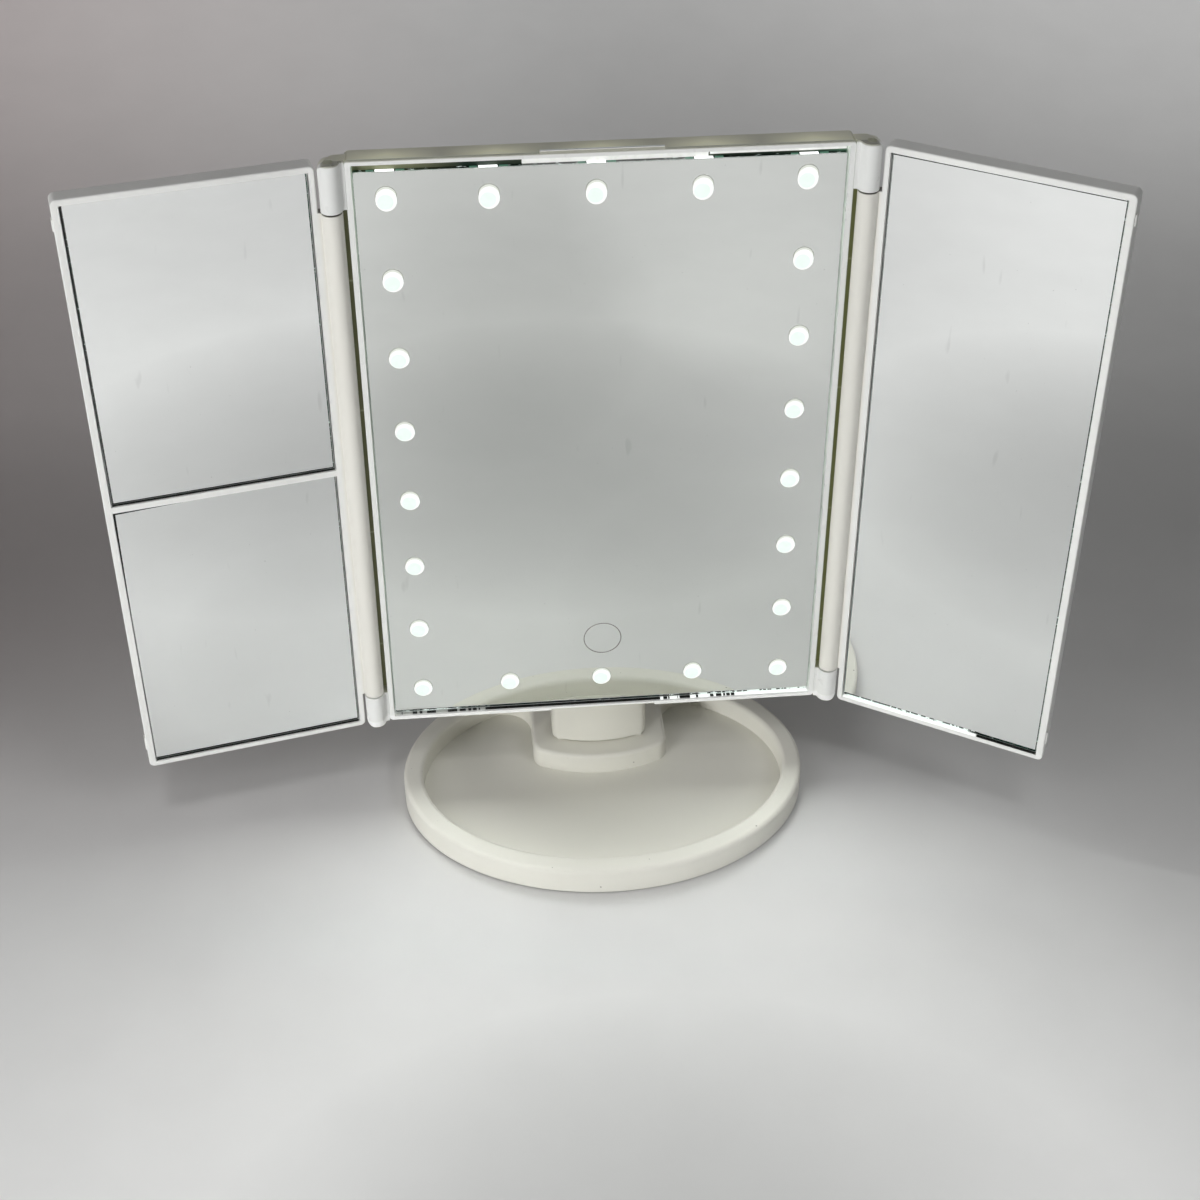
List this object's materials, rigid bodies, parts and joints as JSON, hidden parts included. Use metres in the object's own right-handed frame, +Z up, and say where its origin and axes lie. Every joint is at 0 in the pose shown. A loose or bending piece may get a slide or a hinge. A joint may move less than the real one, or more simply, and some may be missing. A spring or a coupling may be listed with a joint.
{
  "type": "lighted vanity mirror",
  "caption": "Folding three-panel table mirror with lamps behind the centre glass, side wings on hinges, a tilting neck and an oval tray base.",
  "frame": {"origin": "on the table, under the middle of the oval base", "axes": "+Z up, +Y towards the back of the mirror, +X to the right as seen by the person using it"},
  "size_m": [0.3416, 0.1208, 0.2769],
  "materials": {
    "bezel_plastic": "satin bright white",
    "housing_plastic": "fine satin, warm white, faintly translucent",
    "wing_plastic": "fine satin white",
    "stand_plastic": "fine spark-eroded texture, ivory white",
    "silvered_glass": "silvered float glass",
    "frosted_lens": "lit frosted lens",
    "lamp_phosphor": "yellow phosphor over a white cup",
    "white_board": "white solder mask",
    "green_board": "green solder mask",
    "black_plastic": "moulded black",
    "red_insulation": "soft insulation",
    "foam_tape": "double-sided foam",
    "plated_steel": "zinc plated",
    "cell_sleeve": "printed shrink sleeve, plain",
    "rubber_pad": "matt"
  },
  "bodies": {
    "stand": {"base_tray": "stand_plastic", "anti_slip_pad": "rubber_pad", "neck_front_shell": "stand_plastic", "neck_rear_shell": "stand_plastic", "neck_shell_screws": "plated_steel", "neck_clamp_plate": "plated_steel", "neck_clamp_screws": "plated_steel"},
    "panel": {"front_bezel": "bezel_plastic", "rear_housing": "housing_plastic", "housing_screws": "plated_steel", "centre_mirror": "silvered_glass", "centre_mirror_tape": "foam_tape", "lamp_lenses": "frosted_lens", "lamp_chips": "lamp_phosphor", "lamp_strip_left": "white_board", "lamp_strip_right": "white_board", "lamp_strip_top": "white_board", "lamp_strip_bottom": "white_board", "lamp_wires": "red_insulation", "touch_sensor": "plated_steel", "control_board": "green_board", "board_chips": "black_plastic", "switch_body": "black_plastic", "charge_socket": "plated_steel", "battery_cells": "cell_sleeve", "battery_springs": "plated_steel", "battery_contacts": "plated_steel", "tilt_shaft": "plated_steel", "tilt_nut": "plated_steel", "friction_washers": "plated_steel", "left_hinge_pins": "plated_steel", "right_hinge_pins": "plated_steel"},
    "left_wing": {"left_wing_frame": "wing_plastic", "left_upper_mirror": "silvered_glass", "left_lower_mirror": "silvered_glass", "left_mirror_tape": "foam_tape"},
    "right_wing": {"right_wing_frame": "wing_plastic", "right_mirror": "silvered_glass", "right_mirror_tape": "foam_tape"},
    "battery_lid": {"battery_door": "housing_plastic"},
    "switch_knob": {"power_switch_knob": "black_plastic"}
  },
  "joints": [
    {"name": "tilt", "type": "hinge", "parent": "stand", "child": "panel", "pos_m": [0, 0.02214, 0.06166], "axis": [-1, 0, 0], "range_deg": [-6, 90]},
    {"name": "left_hinge", "type": "hinge", "parent": "panel", "child": "left_wing", "pos_m": [-0.0882, 0.00183, 0.15803], "axis": [0, 0.0176, 0.9998], "range_deg": [-12, 168]},
    {"name": "right_hinge", "type": "hinge", "parent": "panel", "child": "right_wing", "pos_m": [0.0882, 0.00183, 0.15803], "axis": [0, 0.0176, 0.9998], "range_deg": [-148.5, 31.5]},
    {"name": "battery_lid_off", "type": "slide", "parent": "panel", "child": "battery_lid", "axis": [0, 0.9998, -0.0176], "range_m": [0, 0.015]},
    {"name": "power_slide", "type": "slide", "parent": "panel", "child": "switch_knob", "axis": [1, 0, 0], "range_m": [0, 0.0025]}
  ]
}
